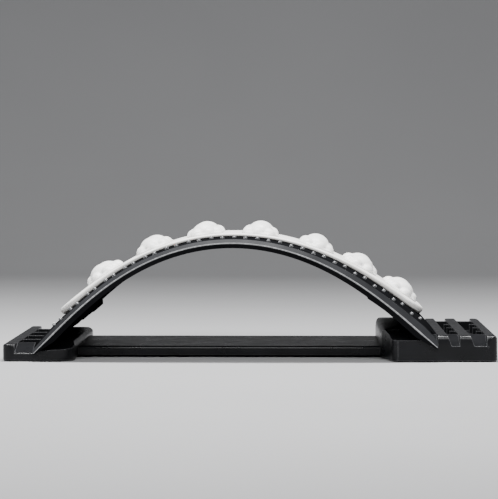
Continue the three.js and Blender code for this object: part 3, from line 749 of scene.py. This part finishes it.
def cut_boxes(made, boxes):
    """Cuts boxes of (low corner, high corner) out of an object and keeps the result as its mesh."""
    bm = bmesh.new()
    for low_corner, high_corner in boxes:
        add_box(bm, low_corner, high_corner)
    cutter = object_of(bm, made.name + "_cutter")
    boolean = made.modifiers.new("cut", "BOOLEAN")
    boolean.operation = "DIFFERENCE"
    boolean.solver = "EXACT"
    boolean.use_self = True
    boolean.object = cutter
    graph = bpy.context.evaluated_depsgraph_get()
    result = bpy.data.meshes.new_from_object(made.evaluated_get(graph))
    made.modifiers.clear()
    made.data = result
    bpy.data.objects.remove(cutter)


cut_boxes(board, foot_cuts)
print(count(board))

# %% [markdown]
# ## Smooth shading
# The skin is made of many small flat faces. More faces would hide them, but smooth shading does it with the
# faces that are there. It would also smear the true edges, so each edge between faces that meet at more than a
# chosen angle is marked sharp. Weighted normals then keep the large faces flat. After that the board is handed
# to its body, the part of the object that it moves with.
# %% Shade the board and hand it over
def soften(made, bevel=0, bevel_angle=35, segments=3):
    """Smooth shading, after a small bevel on the sharp edges if a width is given."""
    made.data.shade_smooth()
    if bevel:
        edge = made.modifiers.new("edges", "BEVEL")
        edge.width = bevel
        edge.segments = segments
        edge.limit_method = "ANGLE"
        edge.angle_limit = math.radians(bevel_angle)
        edge.use_clamp_overlap = True
        edge.miter_outer = "MITER_ARC"
    weighted = made.modifiers.new("normals", "WEIGHTED_NORMAL")
    weighted.keep_sharp = True
    weighted.weight = 60


def sharpen(made, angle):
    """Marks the edges between faces that meet at more than this angle."""
    bm = bmesh.new()
    bm.from_mesh(made.data)
    for edge in bm.edges:
        edge.smooth = len(edge.link_faces) == 2 and edge.calc_face_angle(0) < math.radians(angle)
    bm.to_mesh(made.data)
    bm.free()


def place(made, body, slot, *nodes, finish=None):
    """Gives a piece its finish, lets it ride on a body and stand for CAD nodes."""
    made.data.materials.clear()
    made.data.materials.append(finishes[finish or slot])
    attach(made, body)
    if nodes:
        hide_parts(*nodes)


soften(board)
sharpen(board, angle=38)
place(board, "arch", "board_plastic", "arch_board")
print("sharp edges on the board:", sum(edge.use_edge_sharp for edge in board.data.edges))

# %% [markdown]
# ## Ribs
# Four ribs at each end stiffen the board under its steep parts. Straight ribs would stick out of the curved
# board. So they are drawn flat, with the same function that skins the board, and bent with it, and they follow
# it exactly.
# %% Ribs
rib_rows = (12 * MM, 58 * MM)
rib_thickness = 3 * MM
rib_foot_share = 0.8
rib_round = 0.6 * MM
rib_depth = 10 * MM
rib_depth_shares = (0.1, 0.3, 1, 1, 1, 0.75, 0.4)
left_rib_start_share = 0.665
right_rib_start_share = 0.558
rib_end_share = 0.832
rib_stations = 36


def rib_skin(side, y):
    """A rib under one end of the board, y across it, thin at both of its ends."""
    start_share = left_rib_start_share if side < 0 else right_rib_start_share
    places = np.linspace(0, 1, len(rib_depth_shares))

    def outline(s):
        share = (abs(s) / half_board - start_share) / (rib_end_share - start_share)
        depth = rib_depth * float(np.interp(share, places, rib_depth_shares))
        under = board_under(s, y)
        half = rib_thickness / 2
        foot = half * rib_foot_share
        return rounded([
            (y - foot, under - depth, rib_round), (y + foot, under - depth, rib_round),
            (y + half, under + board_thickness / 3, 0), (y - half, under + board_thickness / 3, 0)], arc=3)

    ends = sorted((side * start_share * half_board, side * rib_end_share * half_board))
    return skin(even(ends[0], ends[1], rib_stations), outline)


def join_bmeshes(parts, name):
    """One object from several bmeshes."""
    whole = bmesh.new()
    for part in parts:
        mesh = bpy.data.meshes.new("part")
        part.to_mesh(mesh)
        part.free()
        whole.from_mesh(mesh)
        bpy.data.meshes.remove(mesh)
    return object_of(whole, name)


ribs = join_bmeshes([
    bend(rib_skin(side, sign * y)) for side in (-1, 1) for y in rib_rows for sign in (-1, 1)], "board_ribs")
soften(ribs)
sharpen(ribs, angle=40)
place(ribs, "arch", "board_plastic")
print(count(ribs))

# %% [markdown]
# ## Nubs
# Small round pins in staggered rows stand along both sides of the strip and press on the back's muscles. Spheres
# pushed into the board would do from afar, but a pin has a straight foot and a flat top. A short profile that
# is spun once round gives both with few faces, which matters for a shape that is repeated so often.
# %% Nubs
nub_radius = 1.6 * MM
nub_height = 2.1 * MM
nub_rows = (80 * MM, 103 * MM)
nub_inset = 24 * MM
nub_gaps = 18
nub_sides = 14
nub_profile_shares = ((1, -0.3), (0.97, 0.25), (0.9, 0.55), (0.74, 0.82), (0.45, 0.97), (0, 1))


def spun(profile, sides):
    """A profile of (radius, height) points, turned round Z. Its first and last radius may be 0."""
    bm = bmesh.new()
    verts = [bm.verts.new((radius, 0, height)) for radius, height in profile]
    edges = [bm.edges.new(pair) for pair in zip(verts, verts[1:])]
    bmesh.ops.spin(bm, geom=verts + edges, axis=(0, 0, 1), cent=(0, 0, 0), angle=2 * math.pi,
        steps=sides, use_merge=True)
    bmesh.ops.remove_doubles(bm, verts=bm.verts, dist=fine_weld)
    bmesh.ops.holes_fill(bm, edges=bm.edges)
    bmesh.ops.recalc_face_normals(bm, faces=bm.faces)
    return bm


def nub_at(s, y):
    """A nub on the board, bent with it."""
    bm = spun([(nub_radius * out, nub_height * up) for out, up in nub_profile_shares], nub_sides)
    bmesh.ops.translate(bm, verts=bm.verts, vec=(s, y, board_top(s, y)))
    return bend(bm)


nub_reach = half_board - nub_inset
half_gap = nub_reach / nub_gaps
nub_places = [(s, nub_rows[0]) for s in even(-nub_reach, nub_reach, nub_gaps)]
nub_places += [(s, nub_rows[1]) for s in even(half_gap - nub_reach, nub_reach - half_gap, nub_gaps - 1)]
nubs = join_bmeshes([nub_at(s, sign * y) for s, y in nub_places for sign in (-1, 1)], "board_nubs")
soften(nubs)
sharpen(nubs, angle=60)
place(nubs, "arch", "board_plastic", finish="nub_plastic")
print(count(nubs))

# %% [markdown]
# ## The massage strip
# The strip is a soft rubber moulding that lies on the board's crown. It could be a skin over outlines, as the
# board is, but its round corners in plan would be hard to draw that way. A block whose corners and edges are
# bevelled is simpler. Cuts at even steps along it let it bend smoothly, and its height is stretched, since
# the strip is thicker at its ends.
# %% Strip sizes
left_strip_inset = 30.5 * MM
right_strip_inset = 23.5 * MM
strip_width = 90 * MM
strip_corner = 16 * MM
strip_middle = 2.8 * MM
strip_end = 6.2 * MM
strip_top_round = 2.6 * MM
strip_bottom_round = strip_top_round * 0.85
strip_cuts = 64
half_strip = half_board - (left_strip_inset + right_strip_inset) / 2
strip_centre = (left_strip_inset - right_strip_inset) / 2


def strip_thickness(s):
    """The strip is thin in its middle and thick at its ends."""
    return strip_middle + (strip_end - strip_middle) * (s / half_strip) ** 2


def strip_floor(s):
    """Height of the strip's underside, just clear of the board."""
    return board_top(s, 0) + seat_gap / 3


def strip_top(s):
    """Height of the strip's top over the line."""
    return board_top(s, 0) + seat_gap + strip_thickness(s)


print("strip length in mm:", round(half_strip * 2 / MM, 1))


# %% Strip
def rounded_slab(length, width, height, corner, top_round, bottom_round):
    """A block on the floor with round corners in plan and round edges along its top and bottom."""
    bm = bmesh.new()
    add_box(bm, (-length / 2, -width / 2, 0), (length / 2, width / 2, height))
    upright = [e for e in bm.edges if abs(e.verts[0].co.z - e.verts[1].co.z) > height / 2]
    bmesh.ops.bevel(bm, geom=upright, offset=corner, segments=12, profile=0.5, affect="EDGES", material=-1)
    bmesh.ops.recalc_face_normals(bm, faces=bm.faces)
    for level, size, steps in ((height, top_round, 6), (0, bottom_round, 4)):
        ring = [e for e in bm.edges if all(abs(v.co.z - level) < height / 100 for v in e.verts)]
        bmesh.ops.bevel(bm, geom=ring, offset=size, segments=steps, profile=0.5, affect="EDGES", material=-1)
    return bm


slab = rounded_slab(
    half_strip * 2, strip_width, strip_end, strip_corner, strip_top_round, strip_bottom_round)
for cut_x in even(-half_strip, half_strip, strip_cuts)[1:-1]:
    bmesh.ops.bisect_plane(slab, geom=slab.verts[:] + slab.edges[:] + slab.faces[:],
        plane_co=(cut_x, 0, 0), plane_no=(1, 0, 0))
for v in slab.verts:
    s = v.co.x + strip_centre
    under = strip_floor(s)
    v.co = (s, v.co.y, under + v.co.z / strip_end * (strip_top(s) - under))
strip = object_of(bend(slab), "strip")
soften(strip)
sharpen(strip, angle=50)
place(strip, "arch", "strip_elastomer", "massage_strip")
print(count(strip))

# %% [markdown]
# ## The massage nodules
# Each nodule is a soft flower: six round lobes lean on a higher knob, on a round base. Spheres that are joined
# would meet in hard creases, and the real ones flow into each other. Balls that melt together describe it
# well. Rays from the middle of the base are followed out to the skin of those balls, so a plain turned dome is
# pushed into the flower's shape. A stem with a wide head goes through the strip and the board and holds it.
# %% Nodule sizes
nodule_along_shares = (-0.599, -0.36, -0.131, 0.103, 0.348, 0.55, 0.7505)
nodule_turn_shares = (0, 0.5, 0.2, 0.7, 0.35, 0.9, 0.15)
nodule_across = 26 * MM
nodule_radius_share = 0.078
nodule_radius = half_board * nodule_radius_share
nodule_top = 9.7 * MM
petal_count = 6
petal_ball = 5.3 * MM
petal_ring = nodule_radius - petal_ball
petal_centre = 0.1 * MM
knob_ball = 11.2 * MM
base_height = 2.4 * MM
melt = 0.35 * MM
stem_radius = 4 * MM
stem_head = 5.6 * MM
stem_head_height = 2.2 * MM
nodule_sides = 96
dome_rings = 34
ray_share = 1.5                 # length of the rays, of the nodule's radius
ray_halvings = 26
print("nodule radius in mm:", round(nodule_radius / MM, 2))


# %% Nodule shape
def melted_distance(points, turned):
    """Distance of points from the melted balls and the base, negative inside."""
    angles = turned + np.arange(petal_count) * 2 * math.pi / petal_count
    centres = np.stack([petal_ring * np.cos(angles), petal_ring * np.sin(angles),
        np.full(petal_count, petal_centre)], axis=1)
    gaps = [np.linalg.norm(points - centre, axis=1) - petal_ball for centre in centres]
    knob = np.array([0, 0, nodule_top - knob_ball])
    gaps.append(np.linalg.norm(points - knob, axis=1) - knob_ball)
    flat = np.linalg.norm(points[:, :2], axis=1)
    base_reach = np.stack([flat - (nodule_radius - base_height / 2), np.abs(points[:, 2])], axis=1)
    gaps.append(np.linalg.norm(np.maximum(base_reach, 0), axis=1) - base_height / 2)
    return -melt * np.log(np.sum(np.exp(-np.stack(gaps) / melt), axis=0))


def push_to_skin(verts, turned):
    """Moves points along their rays from the origin to the skin, by halving the interval that holds it."""
    rays = np.array([v.co.normalized() for v in verts])
    near = np.zeros(len(rays))
    far = np.full(len(rays), nodule_radius * ray_share)
    for _ in range(ray_halvings):
        half_way = (near + far) / 2
        inside = melted_distance(rays * half_way[:, None], turned) < 0
        near = np.where(inside, half_way, near)
        far = np.where(inside, far, half_way)
    for v, ray, distance in zip(verts, rays, near):
        v.co = ray * distance


def nodule_bmesh(turned, reach):
    """A nodule on the XY plane, with a stem that goes reach below it."""
    dome = [(nodule_radius * math.cos(a), nodule_radius * math.sin(a))
        for a in even(0, math.pi / 2, dome_rings)]
    stem = [(0, -reach - stem_head_height), (stem_radius, -reach - stem_head_height), (stem_head, -reach),
        (stem_radius, -reach), (stem_radius, 0)]
    bm = spun([*stem, *dome], nodule_sides)
    push_to_skin([v for v in bm.verts if v.co.z > weld
        or v.co.z > -weld and v.co.xy.length > stem_radius + weld], turned)
    return bm


# %% Nodules in their places
nodule_gap = seat_gap / 3
number = 0
for share, turn_share in zip(nodule_along_shares, nodule_turn_shares):
    for side in (-1, 1):
        number += 1
        s = share * half_board
        turned = side * turn_share * 2 * math.pi / petal_count
        bm = nodule_bmesh(turned, reach=strip_thickness(s) + board_thickness + seat_gap * 2)
        for v in bm.verts:
            along = s + v.co.x
            v.co = (along, side * nodule_across + v.co.y, strip_top(along) + nodule_gap + v.co.z)
        nodule = object_of(bend(bm), "nodule_%d" % number)
        soften(nodule)
        sharpen(nodule, angle=60)
        place(nodule, "arch", "nodule_elastomer", "massage_nodule_%d" % number)
print(count(nodule), "times", number)

# %% [markdown]
# ## The base
# The two end blocks and the bar between them are hollow mouldings. They could be modelled again, but their CAD
# shape already holds the slots, the teeth, the ramps and the hollows. So each visual piece is a merged copy of
# it. A small bevel rounds every edge that a mould would leave soft, and it is this bevel that catches the
# light. The sills, where slots and ridges end at the front and the back, are rounded more, as their bright
# lines in the photograph show.
# %% Clean copies of CAD nodes
sill_reach = 118 * MM
sill_lowest = 5 * MM
sill_round = 1.1 * MM
sill_angle = math.radians(20)
flat_angle = math.radians(1)
along_x = 0.99                  # least share of an edge's length that lies along X
mould_round = 0.9 * MM


def round_sills(bm):
    """Rounds the convex edges along X near the outer sides, and returns how many there were."""
    sills = [e for e in bm.edges if e.is_manifold and e.is_convex and e.calc_face_angle(0) > sill_angle
        and abs((e.verts[0].co - e.verts[1].co).normalized().x) > along_x
        and all(abs(v.co.y) > sill_reach and v.co.z > sill_lowest for v in e.verts)]
    bmesh.ops.bevel(bm, geom=sills, offset=sill_round, segments=3, profile=0.5, affect="EDGES", material=-1,
        clamp_overlap=True)
    return len(sills)


def clean_copy(name, source):
    """A copy of a CAD node's mesh, with its doubled points merged and its flat faces joined."""
    bm = bmesh.new()
    bm.from_mesh(frame["nodes"][source].data)
    bmesh.ops.remove_doubles(bm, verts=bm.verts, dist=weld)
    bmesh.ops.dissolve_limit(bm, angle_limit=flat_angle, verts=bm.verts, edges=bm.edges)
    bmesh.ops.connect_verts_concave(bm, faces=bm.faces)
    print("rounded sills:", round_sills(bm))
    bmesh.ops.recalc_face_normals(bm, faces=bm.faces)
    return object_of(bm, name)


# %% End blocks and bar
for source in ("fixed_end_block", "adjusting_end_block", "centre_bar"):
    piece = clean_copy(source + "_moulding", source)
    soften(piece, bevel=mould_round)
    place(piece, "base", "base_plastic", source)
    print(count(piece))

# %% [markdown]
# ## Screws and pads
# Four screws hold the bar in the end blocks, and four rubber pads keep the base from sliding. They could be
# copied and bevelled as the mouldings are, but they sit under the base, where little of them shows. Their CAD
# shape is enough, so they only get their finish.
# %% Screws and pads
for prefix, slot in (("bar_screw", "screw_steel"), ("foot_pad", "pad_rubber")):
    carried = [name for name in frame["nodes"] if name.startswith(prefix)]
    for name in carried:
        frame["nodes"][name].data.materials.clear()
        frame["nodes"][name].data.materials.append(finishes[slot])
    print(slot, "on", carried)
